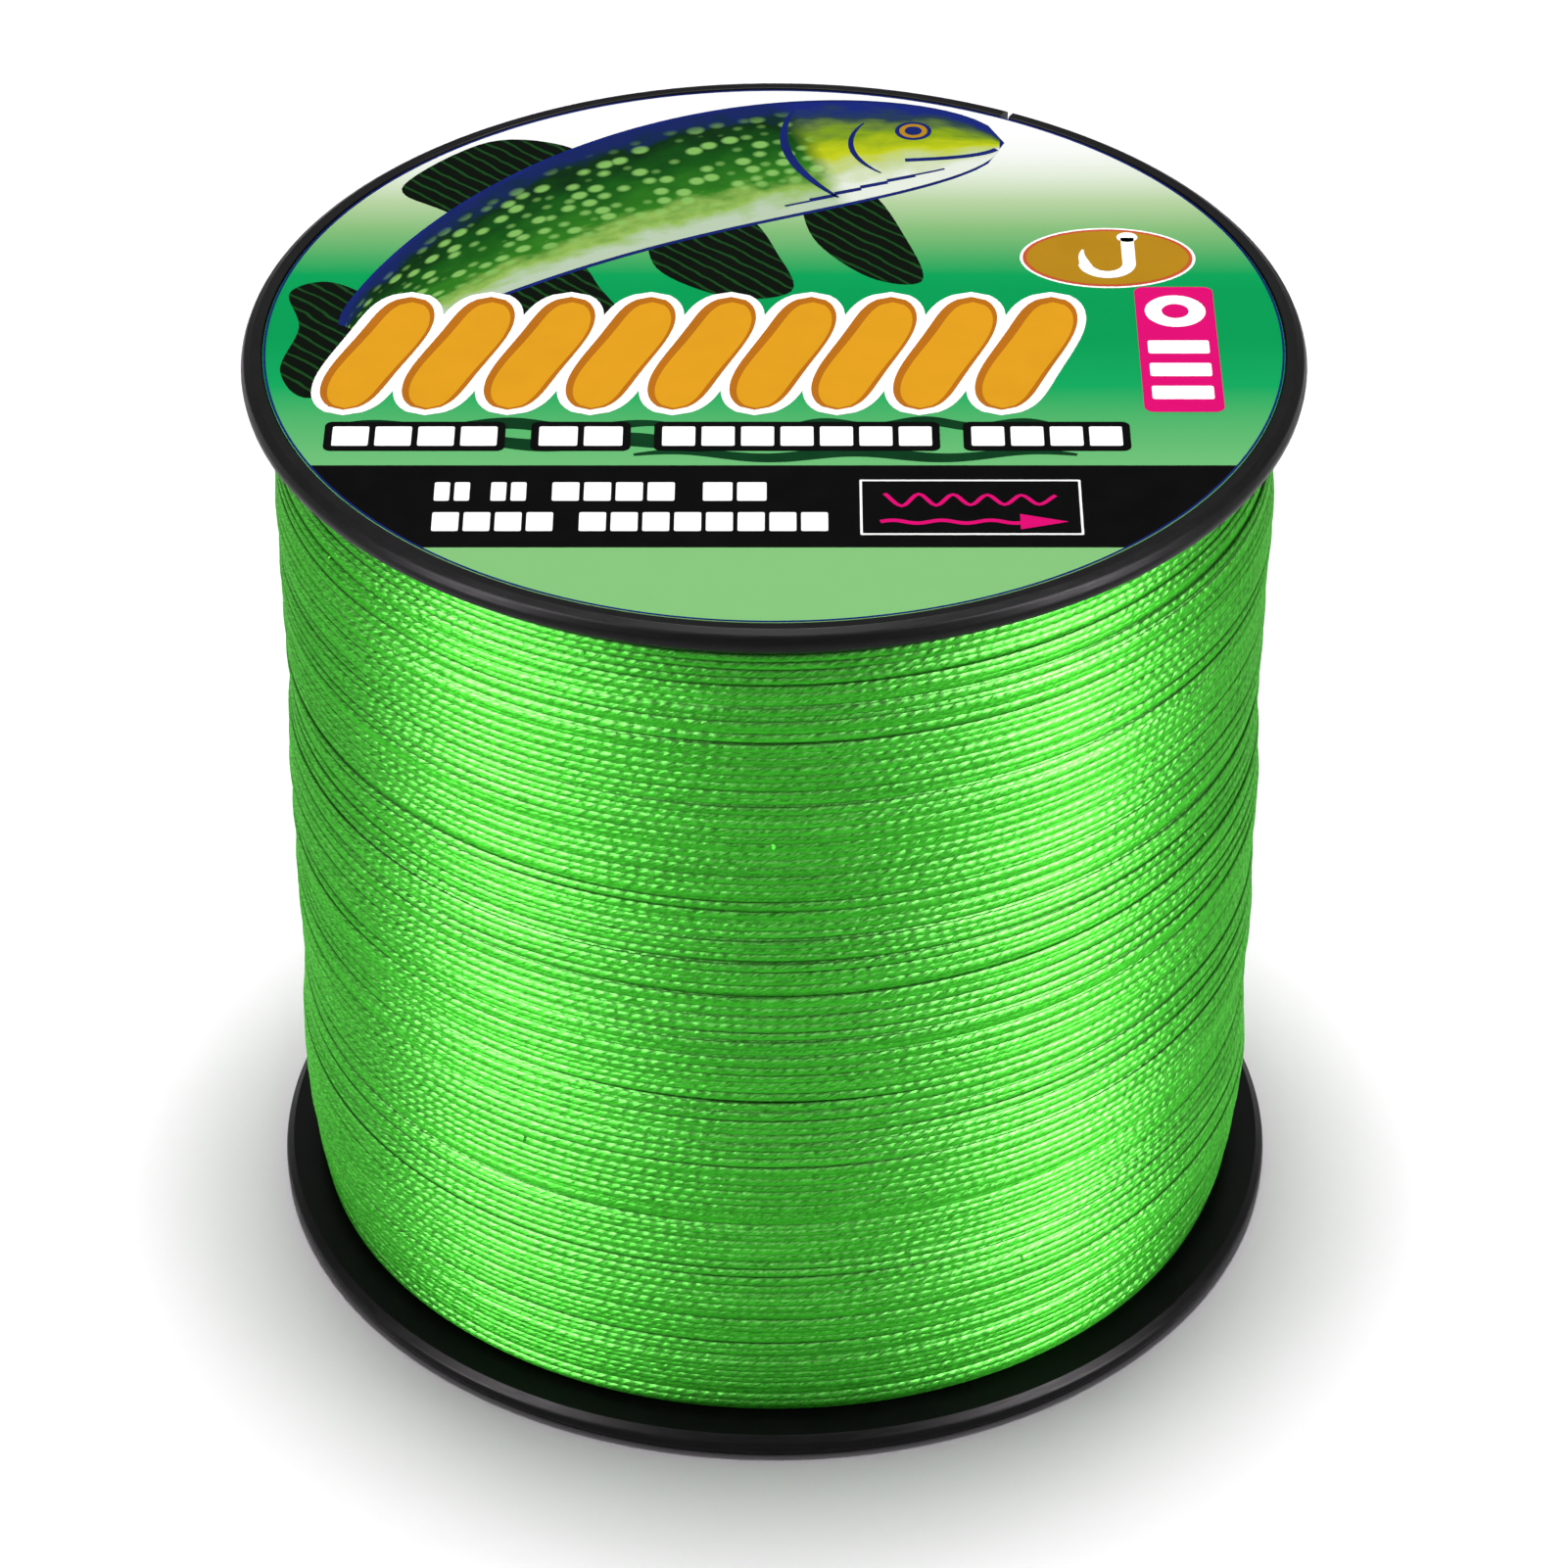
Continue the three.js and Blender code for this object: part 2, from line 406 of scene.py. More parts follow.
def braided_green():
    """Bright green polyethylene braid. The strand map runs along the line in millimetres, and its other
    axis holds the turn's number plus the share of the way round the line."""
    material, tree, shader = new_material("braided_line")
    strand = node(tree, "UVMap", uv_map="strand").outputs[0]
    split = node(tree, "SeparateXYZ", {0: strand})
    along = split.outputs[0]
    around = maths("FRACT", split.outputs[1])
    turn = maths("FLOOR", split.outputs[1])
    # around runs from the lower edge (0) over the outside (0.25) to the upper edge (0.5)
    angle = times(minus(around, 0.25), FULL_TURN)
    # the braid's cells lie in two rows, below and above the middle, half a period apart
    slant = times(maths("ABSOLUTE", angle), BRAID_SLANT)
    lower_row = times(maths("LESS_THAN", angle, 0.0), math.pi)
    phase = times(along, FULL_TURN / BRAID_PERIOD)
    wave = maths("COSINE", minus(minus(phase, slant), lower_row))
    rows = maths("ABSOLUTE", maths("SINE", times(angle, 2)))
    cells = times(wave, rows)
    # filaments, laid across the strand at a slant
    girth = times(around, STRAND_GIRTH)
    lean, keep = math.sin(FILAMENT_LEAN), math.cos(FILAMENT_LEAN)
    with_filament = plus(times(along, keep), times(girth, lean))
    over_filament = minus(times(girth, keep), times(along, lean))
    thread_place = from_axes(with_filament, times(over_filament, FILAMENT_FINENESS), turn)
    filaments = noise(thread_place, 1.5, 3, 0.6)
    # slow change of dye and wax along each turn
    dye_place = from_axes(times(along, 0.03), turn, 0.0)
    dye = ranged(noise(dye_place, 1.7, 2), 0.3, 0.7, 0, 1)
    shade = mixed(dye, (0.048, 0.48, 0.026, 1), (0.062, 0.6, 0.034, 1))
    painted_lit_green = mixed(dye, (0.19, 0.8, 0.135, 1), (0.25, 0.93, 0.18, 1))
    # painted light: the upper side of each strand and its raised filaments take the lit green, as if lit from
    # above, and the lower side the shaded green
    weave = plus(times(cells, 0.13), times(minus(filaments, 0.5), 1.8))
    painted_light_share = plus(weave, maths("SINE", angle))
    base = mixed(ranged(painted_light_share, 0.25, 0.95, 0, 1), shade, painted_lit_green)
    # painted shade along both edges of each strand, where turns meet, and in the low grooves between the
    # filaments
    painted_seam_shade = ranged(maths("COSINE", angle), 0.1, 0.75, 0.42, 1)
    painted_furrow_shade = times(painted_seam_shade, ranged(filaments, 0.38, 0.56, 0.6, 1))
    fill(shader, {
        "Base Color": mixed(1.0, base, painted_furrow_shade, "MULTIPLY"),
        "Roughness": ranged(filaments, 0.3, 0.7, 0.37, 0.48),
        "Metallic": 0.68,
        "Specular IOR Level": 0.3,
        "Specular Tint": (0.42, 1, 0.28, 1),
        # filaments spread a reflection across the line much more than along it
        "Tangent": node(tree, "Tangent", direction_type="RADIAL", axis="Z").outputs[0],
        "Anisotropic": 0.74,
        "Anisotropic Rotation": 0.25,
    })
    bumped(shader, plus(times(cells, 0.25), filaments), 0.00006)
    return material


def package_green():
    """The layers of line under the visible ones, painted a much darker green than the line, as painted shade
    for the gaps between the outer turns.
    """
    material, tree, shader = new_material("line_package")
    layers = noise(stretched(object_place(tree), (0.15, 0.15, 9)), 160, 3)
    fill(shader, {
        # painted shade: this dark green stands for the shade in the gaps, not the line's own colour
        "Base Color": mixed(layers, (0.006, 0.09, 0.004, 1), (0.02, 0.26, 0.012, 1)),
        "Roughness": 0.6,
    })
    bumped(shader, layers, 0.0002)
    return material


def printed_gradient():
    """The label's printed sheet: white at the far side, through emerald, to pale green at the near side."""
    material, tree, shader = new_material("label_print")
    place = object_place(tree)
    split = node(tree, "SeparateXYZ", {0: place})
    reach = LABEL_RADIUS * MM
    share = ranged(split.outputs[1], -reach, reach, 0, 1)
    # millimetres behind the label's middle, and the colour there
    stops = [
        (-33, (0.245, 0.575, 0.21)),
        (-20, (0.16, 0.53, 0.19)),
        (-13, (0.075, 0.465, 0.145)),
        (-8, (0.004, 0.405, 0.115)),
        (0, (0.0, 0.345, 0.09)),
        (8, (0.0, 0.35, 0.092)),
        (11, (0.001, 0.376, 0.1)),
        (14, (0.07, 0.42, 0.13)),
        (19, (0.24, 0.52, 0.2)),
        (24, (0.476, 0.65, 0.36)),
        (29, (0.777, 0.852, 0.716)),
        (33, (0.93, 0.95, 0.91)),
        (37, (1, 1, 1)),
    ]
    scaled = [((y + LABEL_RADIUS) / (2 * LABEL_RADIUS), inked(colour)) for y, colour in stops]
    fill(shader, {"Base Color": ramp(share, scaled)})
    laminate(shader, place)
    return material


def laminate(shader, place):
    """The clear film over the print: smooth, with a faint ripple."""
    fill(shader, {
        "Roughness": ranged(noise(place, 300), 0.3, 0.7, 0.36, 0.48),
        "Specular IOR Level": 0.045,
    })
    bumped(shader, noise(place, 55, 2), 0.00005, 0.25)


def inked(colour):
    """A colour as its ink has it, which is darker than it looks under the studio's lights."""
    return tuple(INK_STRENGTH * c for c in colour)


def ink(name, colour, mottle=0.12):
    """A printed colour with a faint mottle, under the same film."""
    material, tree, shader = new_material("ink_" + name)
    place = object_place(tree)
    dark = [c * (1 - mottle) for c in inked(colour)]
    light = [min(BRIGHTEST_INK, c * (1 + mottle)) for c in inked(colour)]
    blotches = noise(place, 260, 4)
    fill(shader, {"Base Color": mixed(blotches, (*dark, 1), (*light, 1))})
    laminate(shader, place)
    return material


def fin_ink():
    """Nearly black green with lighter rays."""
    material, tree, shader = new_material("ink_fins")
    place = object_place(tree)
    inputs = {"Vector": place, "Scale": 330, "Distortion": 2.2, "Detail": 2}
    rays = node(tree, "TexWave", inputs, wave_type="BANDS", bands_direction="DIAGONAL")
    lines = ranged(rays.outputs["Fac"], 0.8, 1, 0, 1)
    fill(shader, {"Base Color": mixed(lines, (0.001, 0.003, 0.001, 1), (0.006, 0.05, 0.008, 1))})
    laminate(shader, place)
    return material


def fish_ink():
    """A fish's side in its own map: u runs from snout (0) to tail (1) and v from belly (0) to back (1).
    The back is dark green with pale scales, the belly pale, and the head yellow-green."""
    material, tree, shader = new_material("ink_fish")
    flat = node(tree, "UVMap", uv_map="fish").outputs[0]
    split = node(tree, "SeparateXYZ", {0: flat})
    length, height = split.outputs[0], split.outputs[1]
    cloud = noise(stretched(flat, (9, 4, 1)), 2.2, 4)
    level = plus(height, times(minus(cloud, 0.5), 0.35))
    body_stops = [
        (0.06, (0.5, 0.62, 0.46)),
        (0.2, (0.3, 0.5, 0.1)),
        (0.34, (0.03, 0.2, 0.012)),
        (0.6, (0.006, 0.09, 0.006)),
        (0.84, (0.002, 0.026, 0.004)),
        (0.95, (0.007, 0.018, 0.12)),
    ]
    head_stops = [
        (0.12, (0.8, 0.85, 0.76)),
        (0.32, (0.55, 0.66, 0.3)),
        (0.46, (0.55, 0.62, 0.008)),
        (0.66, (0.22, 0.36, 0.01)),
        (0.84, (0.02, 0.05, 0.07)),
        (0.95, (0.008, 0.02, 0.2)),
    ]
    body, head = (
        ramp(level, [(at, inked(colour)) for at, colour in stops])
        for stops in (body_stops, head_stops)
    )
    inputs = {"Vector": stretched(flat, (34, 11.5, 1)), "Scale": 1.0, "Randomness": 0.55}
    cells = node(tree, "TexVoronoi", inputs).outputs["Distance"]
    spots = ranged(cells, 0.27, 0.46, 1, 0)
    # no spots on the belly and along the back
    spots = times(spots, ranged(height, 0.16, 0.34, 0, 1))
    spots = times(spots, ranged(height, 0.8, 0.93, 0.9, 0))
    body = mixed(spots, body, (*inked((0.26, 0.56, 0.13)), 1))
    is_body = ranged(plus(length, times(height, -0.02)), 0.235, 0.265, 0, 1)
    fill(shader, {"Base Color": mixed(is_body, head, body)})
    laminate(shader, object_place(tree))
    return material


def masking_tape():
    """Cream paper tape with a fine crepe."""
    material, tree, shader = new_material("tape")
    crepe = noise(stretched(object_place(tree), (1, 1, 0.2)), 2500, 3)
    fill(shader, {
        "Base Color": mixed(crepe, (0.6, 0.52, 0.3, 1), (0.78, 0.7, 0.46, 1)),
        "Roughness": 0.7,
    })
    bumped(shader, crepe, 0.00004)
    return material


PLASTIC = black_plastic()
LINE = braided_green()
PACKAGE = package_green()
LABEL = printed_gradient()
TAPE = masking_tape()
BLACK_INK = ink("black", (0.0012, 0.0012, 0.0014))
WHITE_INK = ink("white", (1.25, 1.25, 1.25), 0.02)
ORANGE_INK = ink("orange", (0.79, 0.36, 0.012), 0.06)
ORANGE_EDGE_INK = ink("orange_edge", (0.52, 0.165, 0.008))
MAGENTA_INK = ink("magenta", (0.78, 0.002, 0.18), 0.05)
GOLD_INK = ink("gold", (0.49, 0.25, 0.01), 0.08)
RED_INK = ink("red", (0.6, 0.1, 0.035))
NAVY_INK = ink("navy", (0.007, 0.018, 0.16), 0.4)
POND_INK = ink("pond", (0.002, 0.045, 0.012), 0.6)
FIN_INK = fin_ink()
FISH_INK = fish_ink()


# -------- flanges and barrel
def slit_outline():
    """The slit seen from above with its root towards the axis and a flared mouth at the rim."""
    half = SLIT_WIDTH / 2
    quarter = math.pi / 2
    root = FLANGE_RADIUS - SLIT_DEPTH + half
    mouth = FLANGE_RADIUS - half
    outline = arc(root, 0, half, quarter, 3 * quarter, 8)
    outline += arc(mouth, -2 * half, half, quarter, 0, 4)
    outline += [(FLANGE_RADIUS + 1, -2 * half), (FLANGE_RADIUS + 1, 2 * half)]
    outline += arc(mouth, 2 * half, half, 0, -quarter, 4)
    return swung(outline, SLIT_AZIMUTH)


def flange(name):
    """One flange with its outer face at height 0 and its boss, spigot and ribs hanging below."""
    inner = -RIM_THICKNESS
    spigot_inner = SPIGOT_RADIUS - SPIGOT_WALL
    outline = eased([
        (BORE_RADIUS, inner - BOSS_LENGTH, 0.3),
        (BOSS_RADIUS, inner - BOSS_LENGTH, 0.3),
        (BOSS_RADIUS, inner, 0.4),
        (spigot_inner, inner, 0.4),
        (spigot_inner, inner - SPIGOT_LENGTH, 0.3),
        (SPIGOT_RADIUS - 0.5, inner - SPIGOT_LENGTH, 0.15),
        (SPIGOT_RADIUS, inner - SPIGOT_LENGTH + 1, 0.3),
        (SPIGOT_RADIUS, inner, 0.1),
        (FLANGE_RADIUS - 0.78, inner, 0.16),
        (FLANGE_RADIUS - 0.12, inner + 0.62, 0.5),
        (FLANGE_RADIUS, -1.15, 0.9),
        (FLANGE_RADIUS - 0.3, -0.42, 0.5),
        (LIP_RADIUS, 0, 0.13),
        (POCKET_RADIUS, 0, 0.09),
        (POCKET_RADIUS, -POCKET_DEPTH, 0.1),
        (BORE_RADIUS, -POCKET_DEPTH, 0.25),
    ])
    made = mesh_object(name, *turned(outline), PLASTIC)
    overlap = 0.6
    start, end = BOSS_RADIUS - overlap, spigot_inner + overlap
    half = RIB_THICKNESS / 2
    rib = [(start, -half), (end, -half), (end, half), (start, half)]
    ribs = joined(
        prism(swung(rib, FULL_TURN * k / RIB_COUNT), inner - RIB_HEIGHT, inner + 0.5)
        for k in range(RIB_COUNT)
    )
    made = combined(made, mesh_object("ribs", *ribs, PLASTIC), "UNION")
    cutter = mesh_object("slit", *prism(slit_outline(), -2 * RIM_THICKNESS, RIM_THICKNESS), PLASTIC)
    made = combined(made, cutter, "DIFFERENCE")
    made.data.set_sharp_from_angle(angle=SMOOTH_ANGLE)
    return made


def make_flanges():
    upper = flange("upper_flange_moulding")
    upper.data.transform(Matrix.Translation((0, 0, SPOOL_HEIGHT * MM)))
    placed(upper, "upper_flange")
    lower = flange("lower_flange_moulding")
    lower.data.transform(Matrix.Rotation(math.pi, 4, "Y"))
    placed(lower, "lower_flange")


def make_barrel():
    outline = eased([
        (BARREL_RADIUS - BARREL_WALL, BARREL_LOW[2], 0.2),
        (BARREL_RADIUS, BARREL_LOW[2], 0.2),
        (BARREL_RADIUS, BARREL_HIGH[2], 0.2),
        (BARREL_RADIUS - BARREL_WALL, BARREL_HIGH[2], 0.2),
    ])
    made = mesh_object("barrel_tube", *turned(outline, 192), PLASTIC)
    placed(made, "hub_barrel")


# -------- the line
def wander(place, knot_spacing, seed):
    """A smooth random value from -1 to 1 along place, with a new value every knot_spacing."""
    random = np.random.default_rng(seed)
    knots = random.uniform(-1, 1, int(place.max() / knot_spacing) + 3)
    scaled = place / knot_spacing
    index = np.floor(scaled).astype(int)
    share = scaled - index
    share = share * share * (3 - 2 * share)
    return knots[index] * (1 - share) + knots[index + 1] * share


def winding_radius(height, azimuth):
    """The outside of the winding: it swells and sinks a little, and rounds off towards both flanges."""
    share = (height - LINE_BOTTOM) / (LINE_TOP - LINE_BOTTOM)
    radius = WINDING_RADIUS + 0.16 * np.sin(FULL_TURN * 2.5 * share + 0.6 + 0.4 * np.sin(azimuth + 1))
    radius += 0.1 * np.sin(FULL_TURN * 5.5 * share + 2.1 + 0.7 * np.cos(azimuth))
    radius += 0.05 * np.sin(2 * azimuth + 9 * share)
    ends = np.minimum(height - LINE_BOTTOM, LINE_TOP - height)
    return radius - SHOULDER_DROP * np.clip(1 - ends / SHOULDER_HEIGHT, 0, 1) ** 2


def strand_mesh(name, centres, outwards, along, turn, half_width, half_thickness, relief, angles):
    """A flattened line through centres. outwards is the direction away from the winding at each centre,
    along the length so far, and turn the number of the turn. angles, in degrees from the outward side, give
    the points round the line, and relief is the height of the braid's cells."""
    angles = np.radians(angles)
    count, sides = len(centres), len(angles)
    tangents = unit(np.gradient(centres, axis=0))
    across = unit(np.cross(outwards, tangents))
    skew = BRAID_SLANT * np.abs(angles) / FULL_TURN + 0.5 * (angles < 0)
    cells = np.cos(FULL_TURN * (along[:, None] / BRAID_PERIOD - skew))
    cells *= np.abs(np.sin(2 * angles) * (np.cos(angles) > -0.2))
    half_width = np.broadcast_to(half_width, count)[:, None]
    half_thickness = np.broadcast_to(half_thickness, count)[:, None]
    thick = (half_thickness + relief * cells) * np.cos(angles)
    wide = (half_width + relief * cells) * np.sin(angles)
    points = centres[:, None, :] + outwards[:, None, :] * thick[..., None]
    points = (points + across[:, None, :] * wide[..., None]).reshape(-1, 3)
    mesh = bpy.data.meshes.new(name)
    mesh.vertices.add(len(points))
    mesh.vertices.foreach_set("co", (points * MM).astype(np.float32).ravel())
    # a four-sided face for every step along and round the line, and a face with all sides at both ends
    i = np.arange(count - 1)[:, None]
    j = np.arange(sides)
    here, there = i * sides, (i + 1) * sides
    n = (j + 1) % sides
    quads = np.stack([here + j, there + j, there + n, here + n], -1).reshape(-1, 4)
    caps = [np.arange(sides), np.arange(sides)[::-1] + (count - 1) * sides]
    corners = np.concatenate([quads.ravel(), *caps]).astype(np.int32)
    mesh.loops.add(len(corners))
    mesh.loops.foreach_set("vertex_index", corners)
    starts = np.append(np.arange(len(quads)) * 4, [len(quads) * 4, len(quads) * 4 + sides])
    mesh.polygons.add(len(starts))
    mesh.polygons.foreach_set("loop_start", starts.astype(np.int32))
    mesh.update(calc_edges=True)
    mesh.validate()
    made = finished(name, mesh, LINE)
    smooth = np.ones(len(starts), bool)
    smooth[-2:] = False
    mesh.polygons.foreach_set("use_smooth", smooth)
    # the strand map, which braided_green reads, and which gives both ends the colour of the hidden side
    shape = (count - 1, sides)
    share = np.append((angles - angles[0]) / FULL_TURN, 1.0)
    number = np.floor(turn[:-1])[:, None]
    low = np.broadcast_to(share[:-1] + number, shape)
    high = np.broadcast_to(share[1:] * 0.9999 + number, shape)
    first = np.broadcast_to(along[:-1, None], shape)
    last = np.broadcast_to(along[1:, None], shape)
    u = np.append(np.stack([first, last, last, first], -1).reshape(-1), np.zeros(2 * sides))
    v = np.append(np.stack([low, low, high, high], -1).reshape(-1), np.full(2 * sides, 0.7))
    layer = mesh.uv_layers.new(name="strand")
    layer.data.foreach_set("uv", np.stack([u, v], -1).astype(np.float32).ravel())
    return made


# the points round a line, in degrees from its outward side
OUTER_ANGLES = [-90, -55, -20, 10, 40, 65, 90, 180]
UNDER_ANGLES = [-90, -45, 0, 45, 90, 180]
END_ANGLES = range(-90, 241, 30)


def turn_spacings():
    """Distances between neighbouring turns of the outer layer: some crowd and overlap, some stand apart."""
    random = np.random.default_rng(7)
    spacings = []
    width = HIGHEST_TURN - LOWEST_TURN
    while sum(spacings) < width:
        spacing = random.choice([0.48, 0.7, 0.88, 1.0, 1.25], p=[0.16, 0.24, 0.28, 0.2, 0.12])
        spacings.append(spacing + random.uniform(-0.07, 0.07))
    return np.array(spacings) * width / sum(spacings)


def lay_turns(name, bands, place, height, depth, along, first_turn, half_sizes, relief, angles):
    """One layer of turns as a few bands. place counts the turns, depth is how far the line's middle lies
    under the winding's outside, and half_sizes are half its width and half its thickness."""
    azimuth = FULL_TURN * place
    height = np.clip(height, LOWEST_TURN, HIGHEST_TURN)
    outwards = np.stack([np.cos(azimuth), np.sin(azimuth), 0 * azimuth], -1)
    centres = outwards * (winding_radius(height, azimuth) - depth)[:, None]
    centres[:, 2] = height
    half_width, half_thickness = (np.broadcast_to(half, len(place)) for half in half_sizes)
    cuts = np.linspace(0, len(place) - 1, bands + 1).astype(int)
    for band, (first, last) in enumerate(zip(cuts, cuts[1:])):
        part = slice(first, last + 1)
        made = strand_mesh(
            f"{name}_{band + 1:02d}", centres[part], outwards[part], along[part], place[part] + first_turn,
            half_width[part], half_thickness[part], relief, angles,
        )
        placed(made, "line_winding")


def make_outer_line():
    """The visible layer: one continuous line of about a hundred turns."""
    steps = 1200
    spacings = turn_spacings()
    turns = len(spacings)
    edges = np.concatenate([[0], np.cumsum(spacings)])
    place = np.arange(turns * steps + 1) / steps
    height = LOWEST_TURN + np.interp(place, np.arange(turns + 1), edges)
    height += 0.17 * wander(place, 0.37, 1) + 0.12 * wander(place, 0.16, 2)
    depth = STRAND_HALF_THICKNESS - 0.07 * wander(place, 0.29, 3) - 0.08 * wander(place, 1.0, 4)
    along = FULL_TURN * place * WINDING_RADIUS + 3 * BRAID_PERIOD * wander(place, 0.7, 5)
    flatness = 1 + 0.16 * wander(place, 0.21, 6)
    lay_turns(
        "line_turns", 12, place, height, depth, along, 0,
        (STRAND_HALF_WIDTH * flatness, STRAND_HALF_THICKNESS / flatness), BRAID_RELIEF, OUTER_ANGLES,
    )


def make_under_line():
    """The layer beneath, laid the other way, seen in the gaps of the outer one."""
    turns, steps = 95, 360
    depth, half_sizes = 0.4, (0.52, 0.24)
    place = np.arange(turns * steps + 1) / steps
    height = HIGHEST_TURN + (LOWEST_TURN - HIGHEST_TURN) * place / turns + 0.12 * wander(place, 0.4, 11)
    lay_turns(
        "line_under_turns", 3, place, height, depth, FULL_TURN * place * WINDING_RADIUS, UNDER_FIRST_TURN,
        half_sizes, 0, UNDER_ANGLES,
    )


def make_package():
    """The many hidden layers as one ring, just under the two that are drawn out."""
    steps = 120
    room = 0.03
    inner = BARREL_RADIUS + 0.55
    depth = 4 * STRAND_HALF_THICKNESS + 0.1
    low, high = LINE_BOTTOM + room, LINE_TOP - room
    outline = [(inner, low)]
    for k in range(steps + 1):
        height = low + (high - low) * k / steps
        outline.append((float(winding_radius(height, 0)) - depth, height))
    outline.append((inner, high))
    made = mesh_object("line_inner_layers", *turned(outline, 192), PACKAGE)
    placed(made, "line_winding")


def smooth_route(points, steps):
    """A Catmull-Rom curve through points."""
    points = np.array(points, float)
    padded = np.vstack([2 * points[0] - points[1], points, 2 * points[-1] - points[-2]])
    route = []
    for i in range(len(points) - 1):
        p0, p1, p2, p3 = padded[i:i + 4]
        slope = p2 - p0
        bend = 2 * p0 - 5 * p1 + 4 * p2 - p3
        twist = 3 * p1 - p0 - 3 * p2 + p3
        for k in range(steps):
            t = k / steps
            route.append(0.5 * (2 * p1 + slope * t + bend * t ** 2 + twist * t ** 3))
    route.append(points[-1])
    return np.array(route)


def make_tail():
    """The line's end: it comes from under the outer turns, crosses the winding and is pressed into the
    lower flange's slit."""
    slit = math.pi - SLIT_AZIMUTH
    sweep = math.radians(34)
    over_flange = RIM_THICKNESS + 0.3

    def on_winding(share, rise, lift=0.25):
        height = over_flange + rise
        return float(winding_radius(height, slit)) + lift, slit + sweep * share, height

    spots = [
        on_winding(1.75, 8.3, -0.6),
        on_winding(1.45, 7.3, -0.1),
        on_winding(1.2, 6.3, 0.2),
        on_winding(1, 5.3),
        on_winding(0.75, 4.2),
        on_winding(0.5, 2.9),
        on_winding(0.27, 1.6),
        on_winding(0.12, 0.7),
        (WINDING_RADIUS - 0.2, slit + sweep * 0.02, over_flange),
        (WINDING_RADIUS + 1.1, slit, RIM_THICKNESS / 2 + 0.8),
        (FLANGE_RADIUS - 0.5, slit, RIM_THICKNESS / 2),
    ]
    centres = smooth_route([(r * math.cos(a), r * math.sin(a), h) for r, a, h in spots], 30)
    outwards = unit(centres * (1, 1, 0))
    tangents = unit(np.gradient(centres, axis=0))
    # the flat of the line turns to face up where it runs outwards over the flange
    up = np.array([0, 0, 1.0])
    radial = np.abs(np.sum(tangents * outwards, 1))[:, None]
    outwards = outwards * (1 - radial) + up * radial
    outwards = unit(outwards - tangents * np.sum(outwards * tangents, 1)[:, None])
    along = np.concatenate([[0], np.cumsum(np.linalg.norm(np.diff(centres, axis=0), axis=1))])
    turn = np.full(len(along), END_FIRST_TURN)
    half_width, half_thickness = 0.36, 0.26
    made = strand_mesh(
        "line_end", centres, outwards, along, turn, half_width, half_thickness, BRAID_RELIEF, END_ANGLES,
    )
    placed(made, "line_tail")


def make_tape():
    """The tape over the line's inner end, wrapped part of the way round the barrel, with torn ends."""
    inner, outer = BARREL_RADIUS + 0.3, BARREL_RADIUS + 0.5
    reach = math.radians(60)
    columns, rows = 40, 12
    torn = np.random.default_rng(5).uniform(0, 0.02, (2, rows + 1))
    points = []
    for radius in (inner, outer):
        for i in range(columns + 1):
            share = i / columns
            for j in range(rows + 1):
                angle = reach * share + torn[0][j] * (1 - share) - torn[1][j] * share
                height = TAPE_LOW[2] + (TAPE_HIGH[2] - TAPE_LOW[2]) * j / rows
                points.append((radius * math.cos(angle), radius * math.sin(angle), height))
    made = mesh_object("arbor_tape_strip", points, sheet_faces(columns, rows), TAPE)
    placed(made, "arbor_tape")


# -------- labels
def make_upper_label():
    """The printed sheet on the upper flange, over its bore."""
    low = LABEL_LOW[2]
    corners = [(LABEL_RADIUS, low, 0.05), (LABEL_RADIUS, PRINT_BASE, 0.06), (0, PRINT_BASE, 0), (0, low, 0)]
    outline = [(0, low)] + eased(corners, 3)[:-1]
    made = mesh_object("upper_label_disc", *turned(outline), LABEL)
    placed(made, "upper_label")


def make_lower_label():
    """The ring label under the lower flange, round its bore."""
    low, high = LOWER_PRINT_BASE, LOWER_LABEL_HIGH[2]
    hole, edge = LOWER_LABEL_HOLE_RADIUS, LOWER_LABEL_RADIUS
    corners = [(hole, low), (edge, low), (edge, high), (hole, high)]
    outline = eased([(*corner, 0.06) for corner in corners], 3)
    made = mesh_object("lower_label_ring", *turned(outline), LABEL)
    placed(made, "lower_label")


# -------- print on the labels
def oval(x, y, half_x, half_y, steps=72):
    """An ellipse about a point."""
    turns = np.arange(steps) * FULL_TURN / steps
    return np.stack([x + half_x * np.cos(turns), y + half_y * np.sin(turns)], -1)


def rounded_box(left, front, right, back, radius, steps=6):
    """A rectangle with rounded corners."""
    corners = [(right, front, -90), (right, back, 0), (left, back, 90), (left, front, 180)]
    outline = []
    for x, y, start in corners:
        centre_x = x - math.copysign(radius, x - (left + right) / 2)
        centre_y = y - math.copysign(radius, y - (front + back) / 2)
        outline += arc(centre_x, centre_y, radius, math.radians(start), math.radians(start + 90), steps)
    return np.array(outline)


def brush_stroke(route, half_widths):
    """The outline of a stroke along a route, as wide as half_widths on either side."""
    route = np.array(route, float)
    ahead = unit(np.gradient(route, axis=0))
    aside = np.stack([-ahead[:, 1], ahead[:, 0]], -1) * np.broadcast_to(half_widths, len(route))[:, None]
    return np.vstack([route - aside, (route + aside)[::-1]])


def wavy_route(left, right, height, swing, waves, steps=60):
    """A level sine wave from left to right."""
    share = np.linspace(0, 1, steps)
    return np.stack([left + (right - left) * share, height + swing * np.sin(FULL_TURN * waves * share)], -1)


